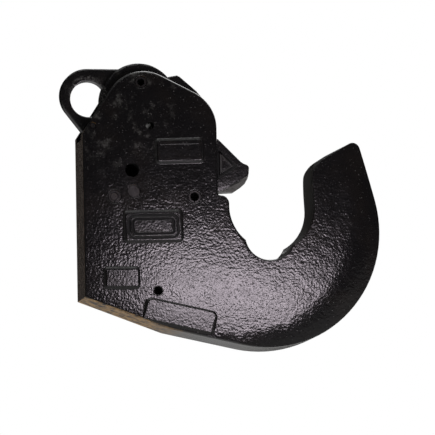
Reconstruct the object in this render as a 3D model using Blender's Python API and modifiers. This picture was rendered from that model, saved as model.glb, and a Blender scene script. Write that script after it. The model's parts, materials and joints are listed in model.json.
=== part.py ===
"""Weld-on lower-link hook: forged claw body, sliding self-closing latch and ring release lever.

Frame: origin at the middle of the weld face, +X towards the mouth of the claw, +Z up as in use,
Y across the thickness with the marked face at -Y. Blender units are metres; sizes below are in mm.
"""
import math

import bmesh
import bpy
from mathutils import Matrix, Vector

MM = 0.001

# ---- driving sizes, mm -------------------------------------------------------------------------
BODY_THICKNESS = 32.0
WELD_FACE_HEIGHT = 108.2

BALL_RADIUS = 32.0            # category 3 lower-link ball, 64 mm
BALL_CLEARANCE = 0.4
SEAT_X, SEAT_Z = 126.2, 6.5
SEAT_FLANK_RADIUS = 28.4
RELIEF_RADIUS = 16.4
RELIEF_DX, RELIEF_DZ = -1.7, -19.0

CLAW_RADIUS = 77.8
CLAW_DX, CLAW_DZ = -4.5, -16.0      # claw centre from the seat centre
TIP_TOP_ANGLE = 27.0
TIP_WALL_LEAN = 5.6
TIP_ROUND = 5.0
TIP_WALL_ROUND = 19.0
TIP_REACH = 45.4              # height of the tip's outer corner above the seat centre
TIP_SIDE_LEAN = 15.3
HEEL_SLOPE = 20.4
BELLY_SLOPE = 12.2

CHEEK_RADIUS = 26.3
CHEEK_REAR_X, CHEEK_REAR_Z = 41.6, 70.0
CHEEK_FRONT_RISE = 58.9
CHEEK_FRONT_X = 90.2
LIP_ROUND = 5.3
LIP_TOP_Z = 13.8

SLOT_WIDTH = 16.6
SLOT_FLOOR_Z = 13.5
SLOT_WALL_X = 7.0
SIDE_CLEARANCE = 0.5
FIT_GAP = 0.2                 # round piece in its bore, on the radius
FACE_GAP = 0.3                # two faces that rest on each other

GUIDE_PIN_RADIUS = 4.4
GUIDE_PIN_BORE = 2.9
GUIDE_FRONT_X = 74.4
GUIDE_REAR_X = 20.8
GUIDE_Z = 12.7
PLUG_RADIUS = 4.2
PLUG_X, PLUG_Z = 33.6, 16.2
PLUG_DEPTH = 6.0
SIGHT_HOLE_RADIUS = 4.7
SIGHT_X, SIGHT_Z = 32.9, 30.2
LOCK_HOLE_RADIUS = 2.8
LOCK_X, LOCK_Z = 45.2, 59.9
DRAIN_HOLE_RADIUS = 2.9
DRAIN_X, DRAIN_Z = 48.8, -49.7
REST_PIN_RADIUS = 2.0
REST_X, REST_Z = 7.3, 59.6

LEVER_PIVOT_X, LEVER_PIVOT_Z = 39.7, 88.9
LEVER_PIN_RADIUS = 4.0
LEVER_PIN_BORE = 2.4
HUB_RADIUS = 25.4
HUB_DX, HUB_DZ = 0.3, -11.6
RING_RADIUS = 17.8
RING_HOLE_RADIUS = 12.0
RING_X, RING_Z = 5.5, 81.4
RING_HOLE_DX, RING_HOLE_DZ = 0.9, -2.4
RING_THICKNESS = 8.0
RING_EDGE_ANGLE = 38.0        # lower-left edge of the ring's plate, from the vertical
HEEL_LENGTH = 17.6
ARM_LENGTH = 53.0
ARM_TIP_RADIUS = 5.3
ARM_HALF_WIDTH = 4.1

LATCH_TRAVEL = 22.0
NOSE_REACH = 22.9             # nose beyond the cheek's front edge
NOSE_Z = 33.0
LATCH_TOP_Z = 52.4
LATCH_SADDLE_Z = 49.5
LATCH_TAIL_X = 38.0
LATCH_TAIL_TOP_Z = 44.0
CHIN_RISE = 10.6              # where the chamfer under the beak ends on the flank
NOTCH_CLEARANCE = 0.4
FLANK_POCKET_DEPTH = 1.5

SPRING_Z = 24.0
SPRING_WIRE = 1.5
SPRING_OUTER_RADIUS = 4.5
SPRING_TURNS = 10
SPRING_POCKET_DEPTH = 18.0
SPIGOT_FLANGE = 2.0
SPIGOT_LENGTH = 10.0

PAD_HEIGHT = 0.7
BIG_ROUND = 5.0               # rounding of the claw's outer edge
ROUND_RUN_IN = 50.0           # degrees over which that rounding grows to its full width
EDGE_ROUND = 1.4
CROWN_X, CROWN_Z = 100.0, 2.0 # axis about which the claw's flanks fall away to its outer edge
CROWN_RADIUS = 80.0           # where the fall starts
CROWN_DROP = 3.6              # fall at the reach, growing as the square of the distance
CROWN_REACH = 21.0

CLAW_X, CLAW_Z = SEAT_X + CLAW_DX, SEAT_Z + CLAW_DZ
HALF_T = BODY_THICKNESS / 2
LATCH_THICKNESS = SLOT_WIDTH - 2 * SIDE_CLEARANCE
HUB_X, HUB_Z = LEVER_PIVOT_X + HUB_DX, LEVER_PIVOT_Z + HUB_DZ
LEVER_SWING = 2 * math.asin(LATCH_TRAVEL / 2 / ARM_LENGTH)
ARM_X = LEVER_PIVOT_X + LATCH_TRAVEL / 2
ARM_Z = LEVER_PIVOT_Z - ARM_LENGTH * math.cos(LEVER_SWING / 2)
LATCH_BOTTOM_Z = GUIDE_Z + GUIDE_PIN_RADIUS + FACE_GAP
BORE_FACETS = 40


# ---- drawing helpers, all in the XZ plane --------------------------------------------------------
def arc(x, z, radius, start, end, step=6.0):
    """Points of an arc between two angles in degrees, both ends included."""
    count = max(2, int(abs(end - start) / step) + 1)
    angles = [math.radians(start + (end - start) * i / count) for i in range(count + 1)]
    return [(x + radius * math.cos(a), z + radius * math.sin(a)) for a in angles]


def line(start, end, count):
    """Evenly spaced points strictly between two points."""
    (x0, z0), (x1, z1) = start, end
    return [(x0 + (x1 - x0) * i / count, z0 + (z1 - z0) * i / count) for i in range(1, count)]


def heading(degrees):
    return Vector((math.cos(math.radians(degrees)), math.sin(math.radians(degrees))))


def meet(p, p_angle, q, q_angle):
    """The point where two lines cross, each given by a point and a heading."""
    a, b = heading(p_angle), heading(q_angle)
    gap = Vector(q) - Vector(p)
    t = (gap.x * b.y - gap.y * b.x) / (a.x * b.y - a.y * b.x)
    hit = Vector(p) + a * t
    return hit.x, hit.y


def fillet(before, corner, after, radius, step=8.0):
    """Arc points that round a corner between two neighbours."""
    p = Vector(corner)
    to_before = (Vector(before) - p).normalized()
    to_after = (Vector(after) - p).normalized()
    half = to_before.angle(to_after) / 2
    centre = p + (to_before + to_after).normalized() * (radius / math.sin(half))
    foot_a = p + to_before * (radius / math.tan(half)) - centre
    foot_b = p + to_after * (radius / math.tan(half)) - centre
    start = math.degrees(math.atan2(foot_a.y, foot_a.x))
    turn = (math.degrees(math.atan2(foot_b.y, foot_b.x)) - start + 180) % 360 - 180
    return arc(centre.x, centre.y, radius, start, start + turn, step)


# ---- scene and mesh helpers ----------------------------------------------------------------------
def clear_scene():
    for obj in list(bpy.data.objects):
        bpy.data.objects.remove(obj, do_unlink=True)


def new_collection(name):
    group = bpy.data.collections.new(name)
    bpy.context.scene.collection.children.link(group)
    return group


def material(name, colour, roughness, metallic):
    mat = bpy.data.materials.new(name)
    mat.use_nodes = True
    shader = mat.node_tree.nodes["Principled BSDF"]
    shader.inputs["Base Color"].default_value = (*colour, 1.0)
    shader.inputs["Roughness"].default_value = roughness
    shader.inputs["Metallic"].default_value = metallic
    return mat


def place(name, mesh, group):
    obj = bpy.data.objects.new(name, mesh)
    group.objects.link(obj)
    return obj


def extruded(name, outlines, y0, y1, group):
    """A plate between y0 and y1 from one outer outline and any holes, as a mesh object."""
    curve = bpy.data.curves.new(name, "CURVE")
    curve.dimensions = "2D"
    curve.fill_mode = "BOTH"
    curve.extrude = (y1 - y0) / 2 * MM
    for outline in outlines:
        spline = curve.splines.new("POLY")
        spline.points.add(len(outline) - 1)
        for point, (x, z) in zip(spline.points, outline):
            point.co = (x * MM, z * MM, 0.0, 1.0)
        spline.use_cyclic_u = True
    draft = place(name + "_draft", curve, group)
    bpy.context.view_layer.update()
    graph = bpy.context.evaluated_depsgraph_get()
    mesh = bpy.data.meshes.new_from_object(draft.evaluated_get(graph))
    bpy.data.objects.remove(draft, do_unlink=True)
    bpy.data.curves.remove(curve)
    stand_up = Matrix.Translation((0, (y0 + y1) / 2 * MM, 0)) @ Matrix.Rotation(math.pi / 2, 4, "X")
    mesh.transform(stand_up)
    bm = bmesh.new()
    bm.from_mesh(mesh)
    bmesh.ops.remove_doubles(bm, verts=bm.verts, dist=0.000002)
    bmesh.ops.dissolve_limit(bm, angle_limit=math.radians(0.05), verts=bm.verts, edges=bm.edges)
    bmesh.ops.recalc_face_normals(bm, faces=bm.faces)
    bm.to_mesh(mesh)
    bm.free()
    return place(name, mesh, group)


def cylinder_y(name, x, z, radius, y0, y1, group, facets=BORE_FACETS):
    """A round bar along Y, its origin on its own axis."""
    bm = bmesh.new()
    bmesh.ops.create_cone(bm, cap_ends=True, segments=facets, radius1=radius * MM,
                          radius2=radius * MM, depth=(y1 - y0) * MM)
    bmesh.ops.rotate(bm, verts=bm.verts, matrix=Matrix.Rotation(math.pi / 2, 3, "X"))
    mesh = bpy.data.meshes.new(name)
    bm.to_mesh(mesh)
    bm.free()
    obj = place(name, mesh, group)
    obj.location = (x * MM, (y0 + y1) / 2 * MM, z * MM)
    return obj


def boolean(obj, other, operation):
    mod = obj.modifiers.new(other.name, "BOOLEAN")
    mod.operation = operation
    mod.solver = "EXACT"
    mod.object = other
    other.hide_render = True
    other.display_type = "WIRE"


def soften(obj, width, segments, weight=None):
    """Round the rims of a plate; weight(x, z) gives each rim edge's share of the width."""
    mesh = obj.data
    if weight:
        limit = max(abs(v.co.y) for v in mesh.vertices) * 0.999
        layer = mesh.attributes.new("bevel_weight_edge", "FLOAT", "EDGE")
        for edge in mesh.edges:
            a, b = (mesh.vertices[i].co for i in edge.vertices)
            on_rim = abs(a.y) > limit and abs(a.y - b.y) < 1e-6
            middle = (a + b) / 2
            layer.data[edge.index].value = weight(middle.x / MM, middle.z / MM) if on_rim else 0.0
    mod = obj.modifiers.new("soft_edges", "BEVEL")
    mod.width = width * MM
    mod.segments = segments
    mod.limit_method = "WEIGHT" if weight else "ANGLE"
    mod.angle_limit = math.radians(50)
    mod.use_clamp_overlap = False


def finish(obj, mat):
    obj.data.materials.clear()
    obj.data.materials.append(mat)
    obj.data.shade_smooth()
    obj.data.set_sharp_from_angle(angle=math.radians(32))


# ---- the forged body -------------------------------------------------------------------------------
def body_outline():
    """Outer outline of the forging, clockwise from the lower end of the weld face."""
    half = WELD_FACE_HEIGHT / 2
    seat = (SEAT_X, SEAT_Z)

    dx, dz = CHEEK_REAR_X, CHEEK_REAR_Z - half
    to_centre = math.degrees(math.atan2(dz, dx))
    back_slope = to_centre + math.degrees(math.asin(CHEEK_RADIUS / math.hypot(dx, dz)))
    front_x = CHEEK_FRONT_X - CHEEK_RADIUS
    crown = math.degrees(math.atan2(CHEEK_FRONT_RISE - CHEEK_REAR_Z, front_x - CHEEK_REAR_X))

    points = [(0.0, -half), (0.0, half)]
    points += arc(CHEEK_REAR_X, CHEEK_REAR_Z, CHEEK_RADIUS, back_slope + 90, crown + 90)
    points += arc(front_x, CHEEK_FRONT_RISE, CHEEK_RADIUS, crown + 90, 0)

    lip_x = SEAT_X - SEAT_FLANK_RADIUS - LIP_ROUND
    points += [(CHEEK_FRONT_X, LIP_TOP_Z + 1.6), (CHEEK_FRONT_X + 0.6, LIP_TOP_Z + 0.3)]
    points += arc(lip_x, LIP_TOP_Z - LIP_ROUND, LIP_ROUND, 90, 0, 14)

    relief = Vector(seat) + Vector((RELIEF_DX, RELIEF_DZ))
    offset = relief - Vector(seat)
    gap = offset.length
    along = (SEAT_FLANK_RADIUS ** 2 - RELIEF_RADIUS ** 2 + gap ** 2) / (2 * gap)
    across = math.sqrt(SEAT_FLANK_RADIUS ** 2 - along ** 2)
    down = offset.normalized()
    side = Vector((-down.y, down.x))
    left = Vector(seat) + down * along - side * across
    right = Vector(seat) + down * along + side * across

    def bearing(centre, point):
        return math.degrees(math.atan2(point.y - centre[1], point.x - centre[0])) % 360

    points += arc(*seat, SEAT_FLANK_RADIUS, 180, bearing(seat, left))
    points += arc(relief.x, relief.y, RELIEF_RADIUS, bearing(relief, left),
                  bearing(relief, right), 9)[1:]
    points += arc(*seat, SEAT_FLANK_RADIUS, bearing(seat, right), 360 + TIP_WALL_LEAN)[1:]

    wall_foot = points[-1]
    wall_heading = 90 + TIP_WALL_LEAN
    side_normal = TIP_SIDE_LEAN
    side_foot = (CLAW_X + CLAW_RADIUS * math.cos(math.radians(side_normal)),
                 CLAW_Z + CLAW_RADIUS * math.sin(math.radians(side_normal)))
    side_heading = 90 + side_normal
    tip = meet(side_foot, side_heading, (0, SEAT_Z + TIP_REACH), 0)
    shoulder = meet(wall_foot, wall_heading, tip, 180 + TIP_TOP_ANGLE)
    points += fillet(wall_foot, shoulder, tip, TIP_WALL_ROUND)
    points += fillet(shoulder, tip, side_foot, TIP_ROUND, 12)
    points += arc(CLAW_X, CLAW_Z, CLAW_RADIUS, side_normal, -90 - BELLY_SLOPE, 4)

    belly = points[-1]
    knee = meet(belly, 180 - BELLY_SLOPE, (0, -half), -HEEL_SLOPE)
    points.append(knee)
    return points


def body_rounding(x, z):
    """Share of BIG_ROUND that each rim edge gets: full round the claw, slight elsewhere."""
    slight = EDGE_ROUND / BIG_ROUND
    reach = math.hypot(x - CLAW_X, z - CLAW_Z)
    bearing = math.degrees(math.atan2(z - CLAW_Z, x - CLAW_X))
    if abs(reach - CLAW_RADIUS) > 0.5 or not -90 - BELLY_SLOPE < bearing < TIP_SIDE_LEAN:
        return slight
    to_end = min(bearing + 90 + BELLY_SLOPE, TIP_SIDE_LEAN - bearing)
    return slight + (1 - slight) * min(1.0, to_end / ROUND_RUN_IN)


def plate_cutter(name, outline, width, group):
    return extruded(name, [outline], -width / 2, width / 2, group)


def turned(points, x, z, angle):
    """Local pad points moved to a place on the marked face and turned."""
    c, s = math.cos(math.radians(angle)), math.sin(math.radians(angle))
    return [(x + c * u - s * v, z + s * u + c * v) for u, v in points]


def rounded_box(width, height, radius):
    w, h = width / 2 - radius, height / 2 - radius
    corners = ((w, h, 0), (-w, h, 90), (-w, -h, 180), (w, -h, 270))
    return [p for x, z, a in corners for p in arc(x, z, radius, a, a + 90, 30)]


def crown_cutter(side, group):
    """Half ring over a curved flank, which thins the claw towards its outer edge."""
    profile = [(CROWN_RADIUS + CROWN_REACH * k / 4, HALF_T - CROWN_DROP * (k / 4) ** 2)
               for k in range(7)]
    profile += [(profile[-1][0], HALF_T + 4), (CROWN_RADIUS, HALF_T + 4)]
    bm = bmesh.new()
    rings = [[bm.verts.new((r * u * MM, side * y * MM, r * v * MM)) for r, y in profile]
             for u, v in arc(0, 0, 1, -106, 90, 3)]
    for ring, after in zip(rings, rings[1:]):
        for k in range(len(profile)):
            bm.faces.new((ring[k - 1], ring[k], after[k], after[k - 1]))
    bm.faces.new(rings[0])
    bm.faces.new(rings[-1])
    bmesh.ops.recalc_face_normals(bm, faces=bm.faces)
    mesh = bpy.data.meshes.new("cut_crown")
    bm.to_mesh(mesh)
    bm.free()
    cutter = place("cut_crown_%d" % (side + 1), mesh, group)
    cutter.location = (CROWN_X * MM, 0, CROWN_Z * MM)
    return cutter


def make_body(parts, cutters):
    body = extruded("hook_body", [body_outline()], -HALF_T, HALF_T, parts)
    soften(body, BIG_ROUND, 3, body_rounding)
    for side in (-1, 1):
        boolean(body, crown_cutter(side, cutters), "DIFFERENCE")

    top, out = 130.0, CHEEK_FRONT_X + 9
    half = WELD_FACE_HEIGHT / 2
    slot = [(out, SLOT_FLOOR_Z), (out, top), (-20, top), (-20, half + 10),
            (SLOT_WALL_X, half - 8), (SLOT_WALL_X, SLOT_FLOOR_Z)]
    boolean(body, plate_cutter("cut_slot", slot, SLOT_WIDTH, cutters), "DIFFERENCE")

    pocket_radius = BALL_RADIUS + BALL_CLEARANCE
    bm = bmesh.new()
    bmesh.ops.create_uvsphere(bm, u_segments=48, v_segments=24, radius=pocket_radius * MM)
    for vert in bm.verts:
        if vert.co.z > 1e-6:
            vert.co.z += 70 * MM
    mesh = bpy.data.meshes.new("cut_ball_path")
    bm.to_mesh(mesh)
    bm.free()
    ball_path = place("cut_ball_path", mesh, cutters)
    ball_path.location = (SEAT_X * MM, 0, SEAT_Z * MM)
    boolean(body, ball_path, "DIFFERENCE")

    deep = HALF_T + 3
    bores = {
        "guide_front": (GUIDE_FRONT_X, GUIDE_Z, GUIDE_PIN_RADIUS + FIT_GAP),
        "guide_rear": (GUIDE_REAR_X, GUIDE_Z, GUIDE_PIN_RADIUS + FIT_GAP),
        "lever_pin": (LEVER_PIVOT_X, LEVER_PIVOT_Z, LEVER_PIN_RADIUS + FIT_GAP),
        "rest_pin": (REST_X, REST_Z, REST_PIN_RADIUS + FIT_GAP),
        "lock": (LOCK_X, LOCK_Z, LOCK_HOLE_RADIUS),
        "drain": (DRAIN_X, DRAIN_Z, DRAIN_HOLE_RADIUS),
    }
    for name, (x, z, radius) in bores.items():
        cutter = cylinder_y("cut_" + name, x, z, radius, -deep, deep, cutters)
        boolean(body, cutter, "DIFFERENCE")
    sight = cylinder_y("cut_sight", SIGHT_X, SIGHT_Z, SIGHT_HOLE_RADIUS, -deep, 0, cutters)
    boolean(body, sight, "DIFFERENCE")
    for side in (-1, 1):
        y0, y1 = sorted((side * (HALF_T - PLUG_DEPTH - FACE_GAP), side * deep))
        cutter = cylinder_y("cut_plug_%d" % (side + 1), PLUG_X, PLUG_Z, PLUG_RADIUS + FIT_GAP,
                            y0, y1, cutters)
        boolean(body, cutter, "DIFFERENCE")

    pads = {
        "pad_upper": turned(rounded_box(28.6, 12.6, 1.5), 64.6, 43.2, 2.0),
        "pad_middle": turned(rounded_box(35.5, 17.0, 4.0), 46.3, -7.2, 1.5),
        "pad_lower": turned(rounded_box(20.0, 10.5, 1.2), 24.8, -41.3, 0.5),
        "pad_tab": [(38.6, -67.9), (83.8, -77.8), (86.3, -66.3), (84.9, -64.3), (44.3, -55.5),
                    (42.0, -56.6)],
    }
    for name, outline in pads.items():
        pad = extruded(name, [outline], -HALF_T - PAD_HEIGHT, -HALF_T + 1, cutters)
        boolean(body, pad, "UNION")
    return body


# ---- the sliding latch -----------------------------------------------------------------------------
def latch_outline():
    nose_x = CHEEK_FRONT_X + NOSE_REACH
    notch = ARM_TIP_RADIUS + NOTCH_CLEARANCE
    notch_z = LEVER_PIVOT_Z - ARM_LENGTH
    belly = LATCH_BOTTOM_Z
    points = [(LATCH_TAIL_X, belly), (nose_x - 10, belly)]
    points += [(nose_x - 5.6, belly + 2.9), (nose_x - 2.6, belly + 5.6), (nose_x - 1.1, belly + 8.6),
               (nose_x - 0.3, NOSE_Z - 3.4)]
    points += arc(nose_x - 2.6, NOSE_Z, 2.6, 0, 70, 18)
    slope_foot = (nose_x - 6.6, NOSE_Z + 5.4)
    slope_top = (nose_x - 6.6 - (LATCH_TOP_Z - slope_foot[1]), LATCH_TOP_Z)
    points += [(nose_x - 3.6, NOSE_Z + 3.1), (nose_x - 5.3, NOSE_Z + 4.2), slope_foot, slope_top]
    points += [(CHEEK_FRONT_X - 8, LATCH_TOP_Z), (CHEEK_FRONT_X - 13, LATCH_SADDLE_Z)]
    points += [(ARM_X + notch + 4.5, LATCH_SADDLE_Z), (ARM_X + notch, notch_z + 4)]
    points += arc(ARM_X, notch_z, notch, 0, -180, 20)
    points += [(ARM_X - notch, notch_z + 4), (ARM_X - notch - 1.6, LATCH_TAIL_TOP_Z)]
    points += [(LATCH_TAIL_X, LATCH_TAIL_TOP_Z)]
    return points


def chamfer_block(name, start, end, y, side, group):
    """Block whose face leaves a 45 degree chamfer along a flank edge given by its two ends."""
    size = 60.0
    along = Vector((end[0] - start[0], 0, end[1] - start[1])).normalized()
    below = Vector((along.z, 0, -along.x))
    out = (below + Vector((0, side, 0))).normalized()
    across = out.cross(along)
    middle = Vector(((start[0] + end[0]) / 2, y, (start[1] + end[1]) / 2)) + out * size / 2
    bm = bmesh.new()
    bmesh.ops.create_cube(bm, size=size * MM)
    mesh = bpy.data.meshes.new(name)
    bm.to_mesh(mesh)
    bm.free()
    block = place(name, mesh, group)
    turn = Matrix((along, across, out)).transposed().to_4x4()
    block.matrix_world = Matrix.Translation(middle * MM) @ turn
    return block


def make_latch(parts, cutters):
    half = LATCH_THICKNESS / 2
    latch = extruded("latch", [latch_outline()], -half, half, parts)
    soften(latch, 0.6, 2)
    nose_x = CHEEK_FRONT_X + NOSE_REACH
    edge = ((CHEEK_FRONT_X + 3.0, LATCH_BOTTOM_Z), (nose_x - 1.2, LATCH_BOTTOM_Z + CHIN_RISE))
    for side in (-1, 1):
        block = chamfer_block("cut_chin_%d" % (side + 1), *edge, side * half, side, cutters)
        boolean(latch, block, "DIFFERENCE")

    pocket_end = LATCH_TAIL_X + SPRING_POCKET_DEPTH
    radius = (SPRING_OUTER_RADIUS + 0.4) * MM
    bm = bmesh.new()
    bmesh.ops.create_cone(bm, cap_ends=True, segments=32, radius1=radius, radius2=radius,
                          depth=(SPRING_POCKET_DEPTH + 5) * MM)
    bmesh.ops.rotate(bm, verts=bm.verts, matrix=Matrix.Rotation(math.pi / 2, 3, "Y"))
    mesh = bpy.data.meshes.new("cut_spring_pocket")
    bm.to_mesh(mesh)
    bm.free()
    cutter = place("cut_spring_pocket", mesh, cutters)
    cutter.location = ((pocket_end - (SPRING_POCKET_DEPTH + 5) / 2) * MM, 0, SPRING_Z * MM)
    boolean(latch, cutter, "DIFFERENCE")

    corner = (CHEEK_FRONT_X + 13.3, NOSE_Z + 1.2)
    upper, lower = (CHEEK_FRONT_X + 0.8, NOSE_Z + 14.0), (CHEEK_FRONT_X + 0.8, NOSE_Z - 6.2)
    recess = [*fillet(lower, upper, corner, 1.6, 30), *fillet(upper, corner, lower, 3.0, 20),
              *fillet(corner, lower, upper, 1.6, 30)]
    for side in (-1, 1):
        y0, y1 = sorted((side * (half - FLANK_POCKET_DEPTH), side * (half + 2)))
        boolean(latch, extruded("cut_flank_%d" % (side + 1), [recess], y0, y1, cutters),
                "DIFFERENCE")
    return latch


# ---- the release lever -----------------------------------------------------------------------------
def lever_plate_outline():
    """Thin plate: ring, straight top, tail behind the hub and the heel over its rest pin."""
    foot_angle = 180 + RING_EDGE_ANGLE
    edge = heading(foot_angle + 90)
    foot = Vector((RING_X, RING_Z)) + heading(foot_angle) * RING_RADIUS
    heel = foot + edge * HEEL_LENGTH
    seat = REST_PIN_RADIUS + FACE_GAP + 0.2
    top = RING_Z + RING_RADIUS
    points = [(HUB_X - 6, top), *line((HUB_X - 6, top), (RING_X, top), 3)]
    points += arc(RING_X, RING_Z, RING_RADIUS, 90, foot_angle)
    points += [(heel.x, heel.y), (REST_X - seat, heel.y + 0.8)]
    points += arc(REST_X, REST_Z, seat, 180, 70, 22)
    points += [(REST_X + 5, REST_Z + 3), (HUB_X - 18, REST_Z + 2.4), (HUB_X, HUB_Z - 15)]
    points += [(HUB_X + 20, HUB_Z - 11), (HUB_X + 39, HUB_Z - 6), (HUB_X + 44, HUB_Z + 2.4)]
    points += [(HUB_X + 39.3, HUB_Z + 7.8), (HUB_X + 28.0, HUB_Z + 17.5),
               (HUB_X + 26.2, HUB_Z + 18.2), (HUB_X + 19.5, HUB_Z + 17.0), (HUB_X + 10, HUB_Z + 15)]
    return points


def make_lever(parts, cutters):
    half = LATCH_THICKNESS / 2
    hole = arc(RING_X + RING_HOLE_DX, RING_Z + RING_HOLE_DZ, RING_HOLE_RADIUS, 0, 360, 10)[:-1]
    lever = extruded("release_lever", [lever_plate_outline(), hole], -RING_THICKNESS / 2,
                     RING_THICKNESS / 2, parts)
    soften(lever, 1.0, 2)

    hub = cylinder_y("lever_hub", HUB_X, HUB_Z, HUB_RADIUS, -half, half, cutters, 72)
    soften(hub, 1.2, 2)
    boolean(lever, hub, "UNION")

    swing = LEVER_SWING / 2
    side = Vector((math.cos(swing), math.sin(swing)))
    down = Vector((math.sin(swing), -math.cos(swing)))
    tip = Vector((ARM_X, ARM_Z))
    root = Vector((LEVER_PIVOT_X, LEVER_PIVOT_Z)) + down * 24
    outline = [tuple(root - side * (ARM_HALF_WIDTH + 4)), tuple(root + side * (ARM_HALF_WIDTH + 4)),
               tuple(root + down * 14 + side * ARM_HALF_WIDTH)]
    round_tip = arc(0, 0, ARM_TIP_RADIUS, 35, -215, 15)
    outline += [tuple(tip + side * u - down * v) for u, v in round_tip]
    outline += [tuple(root + down * 14 - side * ARM_HALF_WIDTH)]
    boolean(lever, extruded("lever_arm", [outline], -half, half, cutters), "UNION")

    deep = half + 4
    for name, x, z, radius in (("cut_lever_bore", LEVER_PIVOT_X, LEVER_PIVOT_Z,
                                LEVER_PIN_RADIUS + FIT_GAP),
                               ("cut_lever_lock", LOCK_X, LOCK_Z, LOCK_HOLE_RADIUS)):
        boolean(lever, cylinder_y(name, x, z, radius, -deep, deep, cutters), "DIFFERENCE")

    pivot = Vector((LEVER_PIVOT_X, 0, LEVER_PIVOT_Z)) * MM
    lever.data.transform(Matrix.Translation(-pivot))
    lever.location = pivot
    return lever


# ---- pins, plugs and spring ------------------------------------------------------------------------
def roll_pin(name, x, z, radius, bore, parts, cutters, inset=0.4):
    """A slit spring pin across the whole thickness, flush within a small inset."""
    ends = HALF_T - inset
    pin = cylinder_y(name, x, z, radius, -ends, ends, parts, 36)
    soften(pin, 0.4, 1)
    boolean(pin, cylinder_y("cut_" + name + "_bore", x, z, bore, -ends - 2, ends + 2, cutters, 28),
            "DIFFERENCE")
    slit = [(x - 0.35, z - radius - 1), (x + 0.35, z - radius - 1), (x + 0.35, z), (x - 0.35, z)]
    boolean(pin, plate_cutter("cut_" + name + "_slit", slit, 2 * ends + 4, cutters), "DIFFERENCE")
    return pin


def solid_pin(name, x, z, radius, y0, y1, parts):
    pin = cylinder_y(name, x, z, radius, y0, y1, parts, 32)
    soften(pin, 0.35, 1)
    return pin


def make_spring(parts):
    """Round-wire compression spring along X, from the spigot's flange to the latch's pocket."""
    mean = SPRING_OUTER_RADIUS - SPRING_WIRE / 2
    wire = SPRING_WIRE / 2
    start = SLOT_WALL_X + FACE_GAP + SPIGOT_FLANGE + FACE_GAP + wire
    end = LATCH_TAIL_X + SPRING_POCKET_DEPTH - FACE_GAP - wire
    steps = SPRING_TURNS * 14
    curve = bpy.data.curves.new("latch_spring", "CURVE")
    curve.dimensions = "3D"
    curve.bevel_depth = wire * MM
    curve.bevel_resolution = 2
    curve.use_fill_caps = True
    spline = curve.splines.new("POLY")
    spline.points.add(steps)
    for i, point in enumerate(spline.points):
        turn = 2 * math.pi * SPRING_TURNS * i / steps
        x = start + (end - start) * i / steps
        y, z = mean * math.cos(turn), SPRING_Z + mean * math.sin(turn)
        point.co = (x * MM, y * MM, z * MM, 1.0)
    return place("latch_spring", curve, parts)


def make_spigot(parts):
    """Turned seat of the spring: a flange against the slot's wall and a short nose."""
    flange, nose = SPRING_OUTER_RADIUS - 0.1, SPRING_OUTER_RADIUS - SPRING_WIRE - 0.5
    profile = [(0.0, SPIGOT_LENGTH), (nose - 0.6, SPIGOT_LENGTH), (nose, SPIGOT_LENGTH - 0.8),
               (nose, SPIGOT_FLANGE), (flange, SPIGOT_FLANGE), (flange, 0.0), (0.0, 0.0)]
    mesh = bpy.data.meshes.new("spring_spigot")
    bm = bmesh.new()
    verts = [bm.verts.new((r * MM, 0, h * MM)) for r, h in profile]
    for a, b in zip(verts, verts[1:]):
        bm.edges.new((a, b))
    bm.to_mesh(mesh)
    bm.free()
    spigot = place("spring_spigot", mesh, parts)
    screw = spigot.modifiers.new("turn", "SCREW")
    screw.axis = "Z"
    screw.steps = 28
    screw.render_steps = 28
    screw.use_merge_vertices = True
    screw.merge_threshold = 0.00001
    spigot.rotation_euler = (0, math.pi / 2, 0)
    spigot.location = ((SLOT_WALL_X + FACE_GAP) * MM, 0, SPRING_Z * MM)
    return spigot


def build():
    clear_scene()
    parts = new_collection("lower_link_hook")
    cutters = new_collection("cutters")

    make_body(parts, cutters)
    make_latch(parts, cutters)
    make_lever(parts, cutters)
    roll_pin("guide_pin_front", GUIDE_FRONT_X, GUIDE_Z, GUIDE_PIN_RADIUS, GUIDE_PIN_BORE,
             parts, cutters)
    roll_pin("guide_pin_rear", GUIDE_REAR_X, GUIDE_Z, GUIDE_PIN_RADIUS, GUIDE_PIN_BORE,
             parts, cutters)
    solid_pin("guide_pin_rear_core", GUIDE_REAR_X, GUIDE_Z, GUIDE_PIN_BORE - FIT_GAP,
              -HALF_T + 1.4, HALF_T - 1.4, parts)
    roll_pin("lever_pivot_pin", LEVER_PIVOT_X, LEVER_PIVOT_Z, LEVER_PIN_RADIUS, LEVER_PIN_BORE,
             parts, cutters)
    solid_pin("lever_rest_pin", REST_X, REST_Z, REST_PIN_RADIUS, -HALF_T + 0.8, HALF_T - 0.8, parts)
    for name, side in (("bore_plug_front", -1), ("bore_plug_rear", 1)):
        y0, y1 = sorted((side * (HALF_T - PLUG_DEPTH), side * (HALF_T - 0.2)))
        solid_pin(name, PLUG_X, PLUG_Z, PLUG_RADIUS, y0, y1, parts)
    make_spring(parts)
    make_spigot(parts)

    finishes = {
        "hook_body": ((0.018, 0.017, 0.019), 0.42, 0.0),
        "latch": ((0.020, 0.019, 0.021), 0.40, 0.0),
        "release_lever": ((0.019, 0.018, 0.020), 0.42, 0.0),
        "latch_spring": ((0.30, 0.30, 0.31), 0.35, 1.0),
        "spring_spigot": ((0.25, 0.25, 0.26), 0.40, 1.0),
        "guide_pin_rear_core": ((0.05, 0.05, 0.05), 0.45, 0.6),
    }
    pin_finish = ((0.022, 0.021, 0.023), 0.38, 0.2)
    for obj in parts.objects:
        mat = material(obj.name + "_paint", *finishes.get(obj.name, pin_finish))
        if obj.type == "MESH":
            finish(obj, mat)
        else:
            obj.data.materials.append(mat)


build()
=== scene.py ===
"""Looks of the weld-on lower-link hook: black painted forging, latch, ring lever, pins and spring."""
import json
import math
from collections import namedtuple

import bmesh
import bpy
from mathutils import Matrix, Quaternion, Vector

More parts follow.
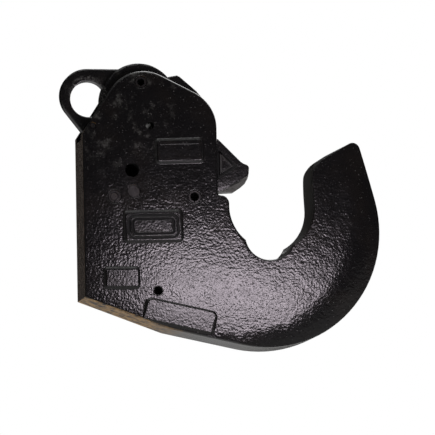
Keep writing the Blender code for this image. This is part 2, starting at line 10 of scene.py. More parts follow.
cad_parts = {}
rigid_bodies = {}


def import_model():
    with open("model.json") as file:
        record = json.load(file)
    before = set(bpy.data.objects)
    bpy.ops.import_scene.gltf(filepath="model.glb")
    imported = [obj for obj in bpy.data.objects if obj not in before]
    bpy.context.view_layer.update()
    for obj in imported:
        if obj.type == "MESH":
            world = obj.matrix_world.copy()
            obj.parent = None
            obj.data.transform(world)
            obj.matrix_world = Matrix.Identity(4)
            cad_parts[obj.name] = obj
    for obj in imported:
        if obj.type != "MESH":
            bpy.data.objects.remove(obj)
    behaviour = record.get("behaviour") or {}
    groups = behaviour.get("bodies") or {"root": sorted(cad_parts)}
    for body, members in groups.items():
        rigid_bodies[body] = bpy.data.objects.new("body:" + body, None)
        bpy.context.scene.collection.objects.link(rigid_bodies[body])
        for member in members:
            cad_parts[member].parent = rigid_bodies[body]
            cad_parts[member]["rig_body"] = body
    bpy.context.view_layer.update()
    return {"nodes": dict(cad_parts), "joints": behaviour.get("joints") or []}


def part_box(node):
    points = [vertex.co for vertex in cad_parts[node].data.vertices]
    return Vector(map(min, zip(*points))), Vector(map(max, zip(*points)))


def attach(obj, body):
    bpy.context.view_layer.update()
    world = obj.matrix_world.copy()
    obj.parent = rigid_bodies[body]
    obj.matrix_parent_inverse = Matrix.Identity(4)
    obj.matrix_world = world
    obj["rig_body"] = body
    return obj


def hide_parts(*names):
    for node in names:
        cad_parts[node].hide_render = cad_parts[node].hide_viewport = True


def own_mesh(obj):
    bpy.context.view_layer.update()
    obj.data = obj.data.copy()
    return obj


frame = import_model()

MM = 0.001

# ---- places taken from the frame -----------------------------------------------------------------
body_low, body_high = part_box("hook_body")
spring_low, spring_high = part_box("latch_spring")
latch_low, latch_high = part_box("latch")
lever_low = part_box("release_lever")[0]
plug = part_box("bore_plug_front")
front_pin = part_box("guide_pin_front")
rear_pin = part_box("guide_pin_rear")
lever_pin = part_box("lever_pivot_pin")
FACE_Y = -body_high.y                 # marked face of the forging, behind its raised pads
PAD_Y = body_low.y                    # front of the raised pads
BACK_Y = FACE_Y + 0.3 * MM            # back of the plates, a little inside the forging
NOSE_X = latch_high.x / MM            # nose of the latch

# ---- places on the marked flank, in mm -----------------------------------------------------------
# corner rounds the plate itself, root rounds the fillet that the forging makes round it
Plate = namedtuple("Plate", "x z width height turn corner root")
UPPER = Plate(64.6, 43.2, 30.0, 14.0, 2.0, 1.2, 1.5)
MIDDLE = Plate(46.3, -7.2, 37.0, 18.6, 1.5, 1.5, 1.5)
LOWER = Plate(24.8, -41.3, 21.4, 11.8, 0.5, 1.3, 1.5)
TAB = Plate(63.2, -66.4, 46.0, 12.6, -12.3, 0.0, 3.0)
PLATES = (UPPER, MIDDLE, LOWER, TAB)
TAB_CORNERS = ((38.2, -68.0), (84.0, -78.0), (86.9, -66.4), (85.9, -64.5), (84.0, -63.6),
               (45.2, -55.2), (43.0, -55.4), (41.4, -57.1))
OUTER_FRAME = MIDDLE._replace(width=31.0, height=13.2, corner=3.4)
INNER_FRAME = MIDDLE._replace(width=26.4, height=9.0, corner=2.4)
FRAME_GROOVES = (MIDDLE._replace(width=33.0, height=15.0, root=3.9),
                 MIDDLE._replace(width=27.6, height=9.9, root=2.6))

Hole = namedtuple("Hole", "x z radius")
SIGHT_HOLE = Hole(32.9, 30.2, 4.7)
LOCK_HOLE = Hole(45.2, 59.9, 2.8)
DRAIN_HOLE = Hole(48.8, -49.7, 2.9)
GUIDE_BORE, LEVER_BORE = 2.9, 2.4     # radii of the open bores in the slit pins
RING_RADIUS, RING_Z = 17.8, 81.9

# ---- colours -------------------------------------------------------------------------------------
INK = (0.0075, 0.0069, 0.0075)
INK_WARM = (0.0125, 0.0105, 0.0098)
# painted shade, put into holes, bores, grooves and round the plates' roots
SHADE_BLACK = (0.0030, 0.0030, 0.0035)
DUST = (0.0560, 0.0560, 0.0500)
# paint chips, also a painted highlight on the latch's seam
CHIP_AND_HIGHLIGHT_GREY = (0.3200, 0.3150, 0.3100)
# brown for the downward faces under the heel
HEEL_UNDERSIDE_BROWN = (0.4200, 0.2500, 0.0900)
# painted reflection for the weld face
WELD_FACE_REFLECTION = (0.2100, 0.1720, 0.1480)
# rubbed paint, also painted reflection on the latch's underside and the tip's inner wall and painted
# highlight on the ring's inner rim
RUB_AND_REFLECTION_GREY = (0.2300, 0.2250, 0.2150)
RUST = (0.0600, 0.0350, 0.0200)
DARK_PIN = (0.0180, 0.0160, 0.0170)
PLUG_STEEL = (0.0220, 0.0200, 0.0200)


# ---- shader maths --------------------------------------------------------------------------------
class Signal:
    """One output of a node; sums and products of signals add Math nodes."""

    def __init__(self, finish, socket):
        self.finish, self.socket = finish, socket

    def maths(self, operation, *others, clamp=False):
        return self.finish.node("ShaderNodeMath", {"operation": operation, "use_clamp": clamp},
                                dict(enumerate((self, *others))))

    def __add__(self, other):
        return self.maths("ADD", other)

    __radd__ = __add__

    def __sub__(self, other):
        return self.maths("SUBTRACT", other)

    def __rsub__(self, other):
        return self.maths("MULTIPLY_ADD", -1.0, other)

    def __mul__(self, other):
        return self.maths("MULTIPLY", other)

    __rmul__ = __mul__

    def __abs__(self):
        return self.maths("ABSOLUTE")

    def at_least(self, other):
        return self.maths("MAXIMUM", other)

    def clamped(self):
        return self.maths("ADD", 0.0, clamp=True)

    def sine(self):
        return self.maths("SINE")


def length(first, second):
    """Length of the vector that two signals make."""
    return (first * first + second * second).maths("SQRT")


class Finish:
    """A procedural material on the piece's own coordinates."""

    def __init__(self, name):
        self.material = bpy.data.materials.new(name)
        self.material.use_nodes = True
        self.tree = self.material.node_tree
        self.tree.nodes.clear()
        output = self.tree.nodes.new("ShaderNodeOutputMaterial")
        self.shader = self.tree.nodes.new("ShaderNodeBsdfPrincipled")
        self.tree.links.new(self.shader.outputs["BSDF"], output.inputs["Surface"])
        self.point = self.node("ShaderNodeTexCoord", output="Object")
        self.x, self.y, self.z = self.split(self.point)
        self.nx, self.ny, self.nz = self.split(self.node("ShaderNodeTexCoord", output="Normal"))

    def node(self, kind, settings=None, sockets=None, output=0):
        made = self.tree.nodes.new(kind)
        for key, value in (settings or {}).items():
            setattr(made, key, value)
        for key, value in (sockets or {}).items():
            if isinstance(value, Signal):
                self.tree.links.new(value.socket, made.inputs[key])
            else:
                made.inputs[key].default_value = value
        return Signal(self, made.outputs[output])

    def split(self, vector):
        made = self.tree.nodes.new("ShaderNodeSeparateXYZ")
        self.tree.links.new(vector.socket, made.inputs[0])
        return [Signal(self, out) for out in made.outputs]

    def noise(self, size_mm, detail=2.0, roughness=0.5, where=None):
        """Noise whose lumps are about size_mm across."""
        return self.node("ShaderNodeTexNoise", {"noise_dimensions": "3D"},
                         {"Vector": where or self.point, "Scale": 1.0 / (size_mm * MM),
                          "Detail": detail, "Roughness": roughness}, "Fac")

    def cells(self, size_mm):
        """Distance to the nearest of many scattered points, about size_mm apart."""
        return self.node("ShaderNodeTexVoronoi", {"feature": "F1"},
                         {"Vector": self.point, "Scale": 1.0 / (size_mm * MM)}, "Distance")

    def stretched(self, scale, turn=0.0):
        return self.node("ShaderNodeMapping", {},
                         {"Vector": self.point, "Rotation": (0.0, math.radians(turn), 0.0),
                          "Scale": scale}, "Vector")

    def step(self, value, low, high, start=0.0, end=1.0):
        """Smooth change from start to end as value goes from low to high."""
        return self.node("ShaderNodeMapRange", {"interpolation_type": "SMOOTHSTEP"},
                         {"Value": value, "From Min": low, "From Max": high, "To Min": start,
                          "To Max": end}, "Result")

    def below(self, value, low, high):
        """1 up to low, fading to 0 at high."""
        return self.step(value, low, high, 1.0, 0.0)

    def reach(self, x, z):
        """Distance from an axis that runs along Y."""
        return length(self.x - x, self.z - z)

    def near(self, x_mm, z_mm, radius_mm, soft_mm):
        """1 inside a circle on the side of the piece, fading to 0 over soft_mm."""
        reach = self.reach(x_mm * MM, z_mm * MM)
        return self.below(reach, radius_mm * MM, (radius_mm + soft_mm) * MM)

    def past_plate(self, plate):
        """Distance beyond the outline of a turned plate on the flank, in mm."""
        c, s = math.cos(math.radians(plate.turn)), math.sin(math.radians(plate.turn))
        dx, dz = self.x * (1 / MM) - plate.x, self.z * (1 / MM) - plate.z
        across = (abs(dx * c + dz * s) - (plate.width / 2 - plate.root)).at_least(0.0)
        up = (abs(dz * c - dx * s) - (plate.height / 2 - plate.root)).at_least(0.0)
        return length(across, up) - plate.root

    def past_corner(self, left_mm, tip_mm, tip_z_mm, rise, fall):
        """Distance beyond a triangle with an upright left side and its tip on the right, in mm."""
        x, z = self.x * (1 / MM) - tip_mm, self.z * (1 / MM) - tip_z_mm
        over = x * math.sin(math.radians(rise)) + z * math.cos(math.radians(rise))
        under = x * math.sin(math.radians(fall)) - z * math.cos(math.radians(fall))
        behind = x * -1.0 + (left_mm - tip_mm)
        return over.at_least(under).at_least(behind)

    def blend(self, amount, first, second):
        def shade(value):
            return (*value, 1.0) if isinstance(value, tuple) else value
        return self.node("ShaderNodeMix", {"data_type": "RGBA", "clamp_factor": True},
                         {0: amount, 6: shade(first), 7: shade(second)}, 2)

    def raised(self, height, depth_mm):
        normal = self.node("ShaderNodeBump", {},
                           {"Height": height, "Distance": depth_mm * MM, "Strength": 1.0},
                           "Normal")
        self.set("Normal", normal)

    def set(self, name, value):
        socket = self.shader.inputs[name]
        if isinstance(value, Signal):
            self.tree.links.new(value.socket, socket)
        elif isinstance(value, tuple):
            socket.default_value = (*value, 1.0)
        else:
            socket.default_value = value


# ---- finishes ------------------------------------------------------------------------------------
def forged_skin(finish):
    """Relief of a painted forging, calmer on its rims; returns its flats and the plates' roots."""
    flat = finish.step(abs(finish.ny), 0.45, 0.9)
    peel = finish.noise(1.45, 1.0, 0.4)
    lumps = finish.noise(3.6)
    waves = finish.noise(15.0, 1.0, 0.4)
    creases = finish.noise(2.6, 2.0, 0.55, finish.stretched((0.5, 1.0, 1.15), 24.0))
    scale_pits = finish.step(finish.cells(5.2), 0.05, 0.32)
    height = peel * 0.62 + lumps * 0.62 + creases * 0.30 + scale_pits * 0.16
    height = height * (flat * 0.75 + 0.25) + waves * 0.6
    marked = finish.below(finish.ny, -0.9, -0.6)
    root = 0.0
    for plate in PLATES:
        past = finish.past_plate(plate)
        height = height + finish.step(past, -0.2, 1.9, 3.4, 0.0) * marked
        root = finish.below(past, 0.0, 1.3) + root
    finish.raised(height, 0.20)
    return flat, root * marked


def body_paint():
    finish = Finish("black_paint_on_forging")
    flat, root = forged_skin(finish)
    wash = finish.step(finish.noise(22.0, 3.0, 0.55), 0.42, 0.72)
    shade = finish.blend(wash, INK, INK_WARM)

    # dust on the shoulder and along the cheeks' top
    mottle = finish.step(finish.noise(6.0, 5.0, 0.68), 0.50, 0.72)
    dusty = finish.near(24.0, 76.0, 16.0, 46.0) * mottle
    shade = finish.blend(dusty * 0.85, shade, DUST)
    speckle = finish.step(finish.noise(1.8, 4.0, 0.7), 0.5, 0.66)
    crown_edge = finish.step(finish.z, 85 * MM, 99 * MM) * speckle
    shade = finish.blend(crown_edge * 0.5, shade, DUST)

    chips = finish.step(finish.noise(0.75, 1.0), 0.735, 0.765)
    shade = finish.blend(chips * flat * 0.6, shade, CHIP_AND_HIGHLIGHT_GREY)

    # painted reflection on the weld face, brownish and clouded
    weld_face = finish.below(finish.nx, -0.95, -0.80) * finish.below(finish.x, 1 * MM, 3 * MM)
    clouds = finish.step(finish.noise(8.0, 4.0, 0.65), 0.3, 0.75)
    shade = finish.blend(weld_face * (clouds * 0.45 + 0.45), shade, WELD_FACE_REFLECTION)
    # patches of brown on the downward faces under the heel
    belly = finish.below(finish.nz, -0.75, -0.25) * finish.below(finish.x, 40 * MM, 75 * MM)
    heel_patches = finish.step(finish.noise(5.0, 3.0, 0.6), 0.30, 0.62)
    shade = finish.blend(belly * heel_patches * 0.9, shade, HEEL_UNDERSIDE_BROWN)

    # painted reflection on the tip's inner wall
    tip_wall = finish.below(finish.nx, -0.9, -0.6) * finish.step(finish.x, 120 * MM, 135 * MM)
    shade = finish.blend(tip_wall * 0.25, shade, RUB_AND_REFLECTION_GREY)

    # painted shade: the insides of the holes and a band round the plates' roots are darkened
    inside = 0.0
    for x, z, radius in (SIGHT_HOLE, LOCK_HOLE, DRAIN_HOLE):
        inside = finish.near(x, z, radius + 0.05, 0.25) + inside
    inside = (inside * finish.below(abs(finish.ny), 0.2, 0.8)).clamped()
    shade = finish.blend((inside + root * 0.45).clamped(), shade, SHADE_BLACK)

    finish.set("Base Color", shade)
    finish.set("Roughness", (finish.noise(9.0, 3.0, 0.6) * 0.12 + 0.11 + dusty * 0.22
                             + belly * 0.35 + (1 - flat) * 0.08 + inside * 0.7
                             + root * 0.25).clamped())
    return finish.material


def pad_paint():
    """The same paint, on the crisper raised pads of the marked face."""
    finish = Finish("black_paint_on_pads")
    peel = finish.noise(1.4, 1.0, 0.4)
    lumps = finish.noise(3.0)
    groove = 0.0
    for outline in FRAME_GROOVES:
        groove = finish.below(abs(finish.past_plate(outline)), 0.35, 0.9) + groove
    finish.raised(peel * 0.5 + lumps * 0.4 - groove * 3.0, 0.18)
    wash = finish.step(finish.noise(8.0, 3.0, 0.6), 0.4, 0.7)
    shade = finish.blend(wash, INK, INK_WARM)
    chips = finish.step(finish.noise(0.8, 1.0), 0.73, 0.76)
    shade = finish.blend(chips * 0.5, shade, CHIP_AND_HIGHLIGHT_GREY)
    # painted shade in the grooves round the middle plate's frames
    shade = finish.blend((groove * 0.85).clamped(), shade, SHADE_BLACK)
    finish.set("Base Color", shade)
    finish.set("Roughness", (finish.noise(6.0) * 0.12 + 0.14 + groove * 0.5).clamped())
    return finish.material


def latch_paint():
    """Paint with a groove round the latch's recess darkened as painted shade, a worn seam with a painted
    highlight, a painted reflection on the underside, and rubbed away on the tail.
    """
    finish = Finish("black_paint_on_latch")
    peel = finish.noise(1.4, 1.0, 0.4)
    lumps = finish.noise(3.2)
    past = finish.past_corner(NOSE_X - 20.6, NOSE_X - 9.2, 34.2, 45.7, 30.6)
    groove = finish.below(abs(past), 0.3, 1.0)
    finish.raised(peel * 0.7 + lumps * 0.6 - groove * 3.0, 0.15)
    shade = finish.blend(finish.step(finish.noise(7.0, 3.0, 0.6), 0.45, 0.7), INK, INK_WARM)
    # painted reflection: the downward faces are lightened to grey and made partly metallic
    under = finish.below(finish.nz, -0.62, -0.42)
    underside_mottle = finish.step(finish.noise(2.4, 4.0, 0.65), 0.28, 0.55)
    shade = finish.blend(under * (underside_mottle * 0.5 + 0.45), shade, RUB_AND_REFLECTION_GREY)
    # painted shade in the groove round the recess
    shade = finish.blend(groove * 0.9, shade, SHADE_BLACK)
    # painted highlight along the seam of the recess, partly worn paint
    seam_wear_and_highlight = finish.step(abs(past + 1.6), 0.2, 0.8, 0.16, 0.0)
    shade = finish.blend(seam_wear_and_highlight, shade, CHIP_AND_HIGHLIGHT_GREY)
    slide = finish.step(abs(finish.ny), 0.9, 0.99) * finish.below(finish.x, 80 * MM, 92 * MM)
    drag = finish.step(finish.noise(1.4, 4.0, 0.7, finish.stretched((0.08, 1.0, 1.0))), 0.45, 0.7)
    shade = finish.blend(slide * drag * 0.6, shade, RUB_AND_REFLECTION_GREY)
    finish.set("Base Color", shade)
    finish.set("Metallic", (under * 0.35 + slide * drag * 0.5).clamped())
    finish.set("Roughness", (finish.noise(4.0, 3.0, 0.6) * 0.14 + 0.17 + under * 0.15
                             + groove * 0.5).clamped())
    return finish.material


def lever_paint():
    """Paint rubbed from the inner rim of the ring by fingers and pins, with a painted highlight there too,
    and painted shade in the lock hole.
    """
    finish = Finish("black_paint_on_lever")
    peel = finish.noise(1.4, 1.0, 0.4)
    lumps = finish.noise(4.0)
    finish.raised(peel * 0.7 + lumps * 0.7, 0.15)
    shade = finish.blend(finish.step(finish.noise(9.0, 3.0, 0.6), 0.45, 0.7), INK, INK_WARM)
    # rubbed paint and a painted highlight round the inner rim of the ring
    reach = finish.reach(lever_low.x + RING_RADIUS * MM, RING_Z * MM)
    rim = finish.below(reach, 11.2 * MM, 13.5 * MM)
    rim_rub_and_highlight = finish.step(finish.noise(1.6, 4.0, 0.7), 0.48, 0.66)
    shade = finish.blend(rim * rim_rub_and_highlight * 0.7, shade, RUB_AND_REFLECTION_GREY)
    dusty = finish.step(finish.noise(5.0, 5.0, 0.7), 0.52, 0.72)
    shade = finish.blend(dusty * 0.35, shade, DUST)
    # painted shade in the lock hole
    shade = finish.blend(finish.near(LOCK_HOLE.x, LOCK_HOLE.z, LOCK_HOLE.radius + 0.15, 0.25), shade, SHADE_BLACK)
    finish.set("Base Color", shade)
    finish.set("Roughness", finish.noise(5.0, 3.0, 0.6) * 0.14 + 0.18)
    return finish.material


def pin_steel(name, box, colour, rust, bore_mm=0.0):
    """Oiled pin steel: turned rings on the ends, fine draw lines along the side, a little rust, painted
    shade in an open bore.
    """
    finish = Finish(name)
    middle = (box[0] + box[1]) / 2
    reach = finish.reach(middle.x, middle.z)
    rings = (reach * 9000.0).sine()
    draw = finish.noise(0.5, 3.0, 0.6, finish.stretched((1.0, 0.05, 1.0)))
    end = finish.step(abs(finish.ny), 0.6, 0.9)
    finish.raised(rings * end * 0.25 + draw * 0.6, 0.03)
    stain = finish.step(finish.noise(2.2, 4.0, 0.65), 0.45, 0.7)
    shade = finish.blend(stain * rust, colour, RUST)
    shade = finish.blend(finish.step(finish.noise(0.9, 3.0, 0.6), 0.55, 0.72) * 0.5, shade, INK)
    hollow = 0.0
    # painted shade in the open bore
    if bore_mm:
        hollow = finish.below(reach, (bore_mm + 0.05) * MM, (bore_mm + 0.2) * MM)
        shade = finish.blend(hollow, shade, SHADE_BLACK)
    finish.set("Base Color", shade)
    finish.set("Metallic", 0.18 - stain * 0.1)
    finish.set("Roughness", (finish.noise(1.6, 3.0, 0.6) * 0.2 + 0.20 + hollow * 0.6).clamped())
    return finish.material


def spring_steel():
    finish = Finish("oiled_spring_wire")
    finish.raised(finish.noise(0.6, 3.0, 0.6, finish.stretched((0.4, 1.0, 1.0))), 0.02)
    grease = finish.step(finish.noise(4.0, 3.0, 0.6), 0.45, 0.65)
    finish.set("Base Color", finish.blend(grease, (0.34, 0.335, 0.33), (0.10, 0.075, 0.045)))
    finish.set("Metallic", 1.0 - grease * 0.5)
    finish.set("Roughness", grease * 0.25 + 0.27)
    return finish.material


def spigot_steel():
    """Bare steel with turned rings about the spring's axis."""
    finish = Finish("turned_spigot_steel")
    rings = (length(finish.y, finish.z - (spring_low.z + spring_high.z) / 2) * 7000.0).sine()
    finish.raised(rings * 0.3 + finish.noise(0.8, 3.0, 0.6), 0.03)
    stain = finish.step(finish.noise(2.5, 4.0, 0.6), 0.45, 0.7)
    finish.set("Base Color", finish.blend(stain, (0.26, 0.255, 0.25), (0.09, 0.07, 0.05)))
    finish.set("Metallic", 0.9 - stain * 0.4)
    finish.set("Roughness", stain * 0.2 + 0.3)
    return finish.material


def floor_paper():
    finish = Finish("pale_floor")
    tone = finish.noise(400.0)
    finish.set("Base Color", finish.blend(tone, (0.80, 0.80, 0.80), (0.84, 0.84, 0.835)))
    finish.set("Roughness", 0.85)
    finish.set("Specular IOR Level", 0.1)
    return finish.material


# ---- modelling helpers ---------------------------------------------------------------------------
def begin(obj=None):
    """Leave edit mode and select only the given piece."""
    if bpy.context.mode != "OBJECT":
        bpy.ops.object.mode_set(mode="OBJECT")
    bpy.ops.object.select_all(action="DESELECT")
    if obj:
        bpy.context.view_layer.objects.active = obj
        obj.select_set(True)


def edit(obj):
    begin(obj)
    bpy.ops.object.mode_set(mode="EDIT")
    bpy.ops.mesh.select_all(action="SELECT")
    return bmesh.from_edit_mesh(obj.data)


def leave_edit():
    bpy.ops.object.mode_set(mode="OBJECT")


def settle(obj):
    """Put the place and turn of a new piece into its mesh."""
    begin(obj)
    bpy.ops.object.transform_apply(location=True, rotation=True, scale=True)


def apply_all(obj):
    begin(obj)
    for modifier in list(obj.modifiers):
        bpy.ops.object.modifier_apply(modifier=modifier.name)


def soften(obj, width_mm, segments, sharp=30):
    """Round the edges that turn by more than the given angle."""
    soft = obj.modifiers.new("soft_rim", "BEVEL")
    soft.width = width_mm * MM
    soft.segments = segments
    soft.angle_limit = math.radians(sharp)


def finished(obj, name, body, material, angle=35.0):
    """Join the piece's points, shade it, name it, and give it its finish and the body it rides on."""
    obj.name = obj.data.name = name
    edit(obj)
    bpy.ops.mesh.remove_doubles(threshold=0.001 * MM)
    bpy.ops.mesh.normals_make_consistent(inside=False)
    leave_edit()
    bpy.ops.object.shade_smooth_by_angle(angle=math.radians(angle))
    weigh = obj.modifiers.new("even_normals", "WEIGHTED_NORMAL")
    weigh.keep_sharp = True
    bpy.ops.object.modifier_apply(modifier=weigh.name)
    obj.data.materials.clear()
    obj.data.materials.append(material)
    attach(obj, body)
    obj.select_set(False)
    return obj


def on_hook(obj, name, paint, angle=35.0):
    return finished(obj, name, "hook", paint, angle)


def face_plate(plate, y):
    """A flat face on the marked side, its corners rounded."""
    begin()
    bpy.ops.mesh.primitive_plane_add(size=1.0, location=(plate.x * MM, y, plate.z * MM),
                                     rotation=(math.pi / 2, -math.radians(plate.turn), 0.0))
    obj = bpy.context.active_object
    obj.scale = (plate.width * MM, plate.height * MM, 1.0)
    settle(obj)
    edit(obj)
    bpy.ops.mesh.bevel(offset=plate.corner * MM, segments=5, affect="VERTICES")
    leave_edit()
    return obj


def face_outline(corners, y):
    """A flat face on a flank, with the corners given in mm."""
    begin()
    bpy.ops.mesh.primitive_circle_add(vertices=len(corners), radius=10 * MM, fill_type="NGON")
    obj = bpy.context.active_object
    bm = edit(obj)
    bm.verts.ensure_lookup_table()
    for vert, (x, z) in zip(bm.verts, corners):
        vert.co = (x * MM, y, z * MM)
    bmesh.update_edit_mesh(obj.data)
    leave_edit()
    return obj


def raise_plate(obj, proud_mm, rim_mm):
    """Extrude a face at BACK_Y until it stands proud of the pads, and round the rim of its front."""
    front_y = PAD_Y - proud_mm * MM
    edit(obj)
    bpy.ops.mesh.extrude_region_move(TRANSFORM_OT_translate={"value": (0, front_y - BACK_Y, 0)})
    bpy.ops.mesh.select_all(action="SELECT")
    bpy.ops.mesh.normals_make_consistent(inside=False)
    bpy.ops.mesh.select_all(action="DESELECT")
    bm = bmesh.from_edit_mesh(obj.data)
    bm.select_mode = {"EDGE"}
    for edge in bm.edges:
        edge.select = all(abs(v.co.y - front_y) < 0.001 * MM for v in edge.verts)
    bm.select_flush_mode()
    bmesh.update_edit_mesh(obj.data)
    bpy.ops.mesh.bevel(offset=rim_mm * MM, segments=3, profile=0.6, affect="EDGES")
    leave_edit()
    return obj


def raise_band(obj, band_mm, thick_mm, round_mm):
    """Keep only a band along the edge of a face, thicken it and soften its edges."""
    edit(obj)
    bpy.ops.mesh.inset(thickness=band_mm * MM, depth=0.0)
    bpy.ops.mesh.delete(type="FACE")
    leave_edit()
    solid = obj.modifiers.new("thickness", "SOLIDIFY")
    solid.thickness = thick_mm * MM
    solid.offset = 0.0
    soften(obj, round_mm, 2, 50)
    apply_all(obj)
    return obj


# ---- pieces --------------------------------------------------------------------------------------
def smooth_skin(node, name, material):
    """A frame piece's own shape again, its triangles joined and its shading even across flats."""
    source = frame["nodes"][node]
    obj = source.copy()
    obj.data = source.data.copy()
    obj.parent = None
    obj.hide_render = obj.hide_viewport = False
    for key in list(obj.keys()):
        del obj[key]
    bpy.context.scene.collection.objects.link(obj)
    begin(obj)
    bpy.ops.mesh.customdata_custom_splitnormals_clear()
    finished(obj, name, source["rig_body"], material, 33.0)
    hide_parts(node)


def make_latch_seam(side, paint):
    """Raised seam that follows the triangular recess of the latch's flank."""
    recess_floor = (abs(latch_low.y) - 1.5 * MM) * side
    left, tip = NOSE_X - 19.6, NOSE_X - 9.7
    obj = face_outline([(left, 44.5), (left, 28.2), (tip, 34.2)], recess_floor + side * 0.45 * MM)
    edit(obj)
    bpy.ops.mesh.bevel(offset=1.4 * MM, segments=5, affect="VERTICES")
    leave_edit()
    raise_band(obj, 1.3, 1.3, 0.42)
    name = "latch_seam_front" if side < 0 else "latch_seam_rear"
    finished(obj, name, "latch", paint)


def make_chamfer_band(paint):
    """Sloped strip along the top of the upper plate."""
    begin()
    place = ((UPPER.x - 0.15) * MM, PAD_Y - 0.45 * MM, (UPPER.z + 4.2) * MM)
    bpy.ops.mesh.primitive_cube_add(size=1.0, location=place,
                                    rotation=(0.0, -math.radians(UPPER.turn), 0.0))
    obj = bpy.context.active_object
    obj.scale = ((UPPER.width - 3.6) * MM, 0.8 * MM, 0.9 * MM)
    settle(obj)
    soften(obj, 0.38, 3)
    apply_all(obj)
    on_hook(obj, "plate_upper_lip", paint)


def make_frame(name, plate, band_mm, proud_mm, paint):
    """A rounded frame that stands on the middle plate."""
    thick_mm = proud_mm + 0.2
    obj = raise_band(face_plate(plate, PAD_Y - 0.05 * MM), band_mm, thick_mm,
                     min(band_mm, thick_mm) * 0.44)
    on_hook(obj, name, paint)


def make_plates(paint):
    """Blank plates, frames and tab of the marked face."""
    on_hook(raise_plate(face_plate(UPPER, BACK_Y), 0.55, 0.95), "plate_upper", paint)
    make_chamfer_band(paint)
    on_hook(raise_plate(face_plate(MIDDLE, BACK_Y), 0.05, 0.75), "plate_middle", paint)
    make_frame("plate_middle_frame", OUTER_FRAME, 1.5, 0.8, paint)
    make_frame("plate_middle_inner_frame", INNER_FRAME, 1.1, 0.7, paint)
    on_hook(raise_plate(face_plate(LOWER, BACK_Y), 0.35, 0.85), "plate_lower", paint)
    on_hook(raise_plate(face_outline(TAB_CORNERS, BACK_Y), 0.5, 0.9), "plate_tab", paint)


def make_lip(name, middle, radius_mm, thick_mm, paint):
    """Thin raised lip round a bore, pushed up when the pin went in."""
    begin()
    centre = (middle.x, FACE_Y, middle.z)
    bpy.ops.mesh.primitive_torus_add(location=centre, rotation=(math.pi / 2, 0, 0),
                                     major_radius=radius_mm * MM, minor_radius=thick_mm * MM,
                                     major_segments=64, minor_segments=10)
    obj = bpy.context.active_object
    settle(obj)
    edit(obj)
    bpy.ops.transform.resize(value=(1.0, 0.55, 1.0), center_override=centre)
    leave_edit()
    on_hook(obj, name, paint, 60.0)


def make_lips(paint):
    for name, box, radius_mm, thick_mm in (("front", front_pin, 4.75, 0.42),
                                           ("rear", rear_pin, 4.75, 0.34),
                                           ("plug", plug, 4.55, 0.24),
                                           ("lever", lever_pin, 4.35, 0.26)):
        make_lip("bore_lip_" + name, (box[0] + box[1]) / 2, radius_mm, thick_mm, paint)
    drain = Vector((DRAIN_HOLE.x, 0, DRAIN_HOLE.z)) * MM
    make_lip("bore_lip_drain", drain, 3.15, 0.4, paint)


def make_spring(material):
    """Round wire coil between the spigot and the latch, its ends capped."""
    wire = 0.75 * MM
    turns = 10
    coil_radius = (spring_high.z - spring_low.z) / 2 - wire
    axis_z = (spring_high.z + spring_low.z) / 2
    spring_length = spring_high.x - spring_low.x
    begin()
    bpy.ops.mesh.primitive_circle_add(vertices=14, radius=wire, fill_type="NOTHING",
                                      location=(coil_radius, 0, 0), rotation=(math.pi / 2, 0, 0))
    obj = bpy.context.active_object
    settle(obj)
    coil = obj.modifiers.new("coil", "SCREW")
    coil.axis = "Z"
    coil.angle = 2 * math.pi
    coil.screw_offset = (spring_length - 2 * wire) / turns
    coil.iterations = turns
    coil.steps = coil.render_steps = 36
    coil.use_merge_vertices = False
    apply_all(obj)
    edit(obj)
    bpy.ops.mesh.select_all(action="DESELECT")
    bpy.ops.mesh.select_mode(type="EDGE")
    bpy.ops.mesh.select_non_manifold()
    bpy.ops.mesh.fill_holes(sides=0)
    leave_edit()
    obj.rotation_euler = (0, math.pi / 2, 0)
    obj.location = (spring_low.x + wire, 0, axis_z)
    settle(obj)
    finished(obj, "coil_spring", "hook", material, 60.0)
    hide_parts("latch_spring")
    travel = next(joint["range_m"][1] for joint in frame["joints"] if joint["name"] == "latch_slide")
    (spring_length - travel) / spring_length
    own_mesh(obj)


def make_pieces():
    smooth_skin("hook_body", "forged_hook", body_paint())
    latch_finish = latch_paint()
    smooth_skin("latch", "sliding_beak", latch_finish)
    for side in (-1, 1):
        make_latch_seam(side, latch_finish)
    smooth_skin("release_lever", "ring_lever", lever_paint())
    paint = pad_paint()
    make_plates(paint)
    make_lips(paint)
    make_spring(spring_steel())


def dress_frame():
    """Give every carried-over piece its own finish."""
    finishes = {
        "spring_spigot": spigot_steel(),
        "lever_rest_pin": pin_steel("rest_pin_steel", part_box("lever_rest_pin"),
                                    (0.016, 0.015, 0.015), 0.3),
        "guide_pin_front": pin_steel("front_pin_steel", front_pin, DARK_PIN, 0.25, GUIDE_BORE),
        "guide_pin_rear": pin_steel("rear_pin_steel", rear_pin, (0.020, 0.018, 0.018), 0.3),
        "guide_pin_rear_core": pin_steel("pin_core_steel", rear_pin, (0.030, 0.025, 0.024), 0.4),
        "lever_pivot_pin": pin_steel("lever_pin_steel", lever_pin, DARK_PIN, 0.25, LEVER_BORE),
        "bore_plug_front": pin_steel("front_plug_steel", plug, PLUG_STEEL, 0.2),
        "bore_plug_rear": pin_steel("rear_plug_steel", plug, PLUG_STEEL, 0.2),
    }
    for name, material in finishes.items():
        for slot in frame["nodes"][name].material_slots:
            slot.material = material


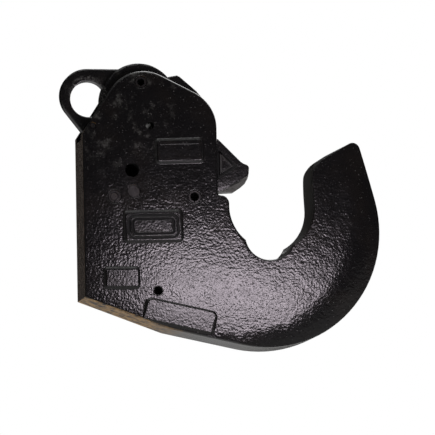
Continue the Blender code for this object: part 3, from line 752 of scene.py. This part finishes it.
# ---- floor, light and camera ---------------------------------------------------------------------
FLOOR_Z = -0.62
WARM = (1.0, 0.96, 0.93)
PINK = (1.0, 0.885, 0.98)
WHITE = (1.0, 1.0, 1.0)
LAMPS = {  # place, aim, width, height, watts, colour
    "key": ((0.155, -0.31, -0.020), (0.106, -0.016, -0.056), 0.13, 0.04, 0.24, PINK),
    "fill_left": ((-0.9, -0.8, 0.2), (0.05, 0, 0), 0.7, 0.9, 0.30, WARM),
    "top_front": ((0.10, -0.75, 0.80), (0.06, 0, 0.03), 0.6, 0.3, 0.9, WHITE),
    "overhead": ((0.9, 1.0, 1.6), (0.1, 0.1, 0), 1.8, 1.8, 38.0, WHITE),
    "behind": ((1.2, 2.1, 0.7), (0.08, 0, 0), 1.2, 1.0, 9.0, WARM),
}


def make_stage():
    begin()
    bpy.ops.mesh.primitive_plane_add(size=12.0, location=(0, 0, FLOOR_Z))
    floor = bpy.context.active_object
    floor.name = "floor"
    settle(floor)
    floor.data.materials.append(floor_paper())
    floor.select_set(False)


def make_lamp(name, place, aim, width, height, watts, colour):
    data = bpy.data.lights.new(name, "AREA")
    data.shape = "RECTANGLE"
    data.size, data.size_y = width, height
    data.energy = watts
    data.color = colour
    lamp = bpy.data.objects.new(name, data)
    bpy.context.scene.collection.objects.link(lamp)
    lamp.location = place
    lamp.rotation_euler = (Vector(aim) - Vector(place)).to_track_quat("-Z", "Z").to_euler()
    lamp.visible_camera = False


def make_world():
    """White to the eye; what lights the piece is dim low down and brighter from overhead."""
    world = bpy.data.worlds.new("studio")
    bpy.context.scene.world = world
    world.use_nodes = True
    nodes, links = world.node_tree.nodes, world.node_tree.links
    nodes.clear()
    seen = nodes.new("ShaderNodeBackground")
    seen.inputs["Color"].default_value = (1.0, 1.0, 1.0, 1.0)
    given = nodes.new("ShaderNodeBackground")
    given.inputs["Color"].default_value = (1.0, 0.985, 0.975, 1.0)
    sky = nodes.new("ShaderNodeSeparateXYZ")
    links.new(nodes.new("ShaderNodeTexCoord").outputs["Generated"], sky.inputs[0])
    total = nodes.new("ShaderNodeMath")
    for place, (axis, low, high, strength) in enumerate((("Z", 0.35, 0.95, 0.42),
                                                         ("X", -0.7, 0.9, 0.035))):
        ramp = nodes.new("ShaderNodeMapRange")
        ramp.interpolation_type = "SMOOTHSTEP"
        links.new(sky.outputs[axis], ramp.inputs["Value"])
        for key, value in (("From Min", low), ("From Max", high), ("To Max", strength)):
            ramp.inputs[key].default_value = value
        links.new(ramp.outputs["Result"], total.inputs[place])
    links.new(total.outputs[0], given.inputs["Strength"])
    mix = nodes.new("ShaderNodeMixShader")
    links.new(nodes.new("ShaderNodeLightPath").outputs["Is Camera Ray"], mix.inputs[0])
    links.new(given.outputs[0], mix.inputs[1])
    links.new(seen.outputs[0], mix.inputs[2])
    links.new(mix.outputs[0], nodes.new("ShaderNodeOutputWorld").inputs["Surface"])


def make_camera():
    """Long lens, 11 degrees to the left of the marked face and 7 degrees below it."""
    target = Vector((0.0894, -0.016, -0.0011))
    distance = 3.0
    seen_width = 0.287
    azimuth, elevation, roll = math.radians(-11.0), math.radians(-7.0), math.radians(-1.1)
    away = Vector((math.sin(azimuth) * math.cos(elevation),
                   -math.cos(azimuth) * math.cos(elevation), math.sin(elevation)))
    data = bpy.data.cameras.new("camera")
    data.sensor_width = 36.0
    data.lens = data.sensor_width * distance / seen_width
    data.clip_end = 60.0
    camera = bpy.data.objects.new("camera", data)
    bpy.context.scene.collection.objects.link(camera)
    camera.location = target + away * distance
    camera.rotation_mode = "QUATERNION"
    camera.rotation_quaternion = (-away).to_track_quat("-Z", "Y") @ Quaternion((0, 0, 1), roll)
    bpy.context.scene.camera = camera


bpy.context.scene.view_settings.view_transform = "Standard"
dress_frame()
make_pieces()
make_stage()
make_world()
for lamp_name, lamp_values in LAMPS.items():
    make_lamp(lamp_name, *lamp_values)
make_camera()
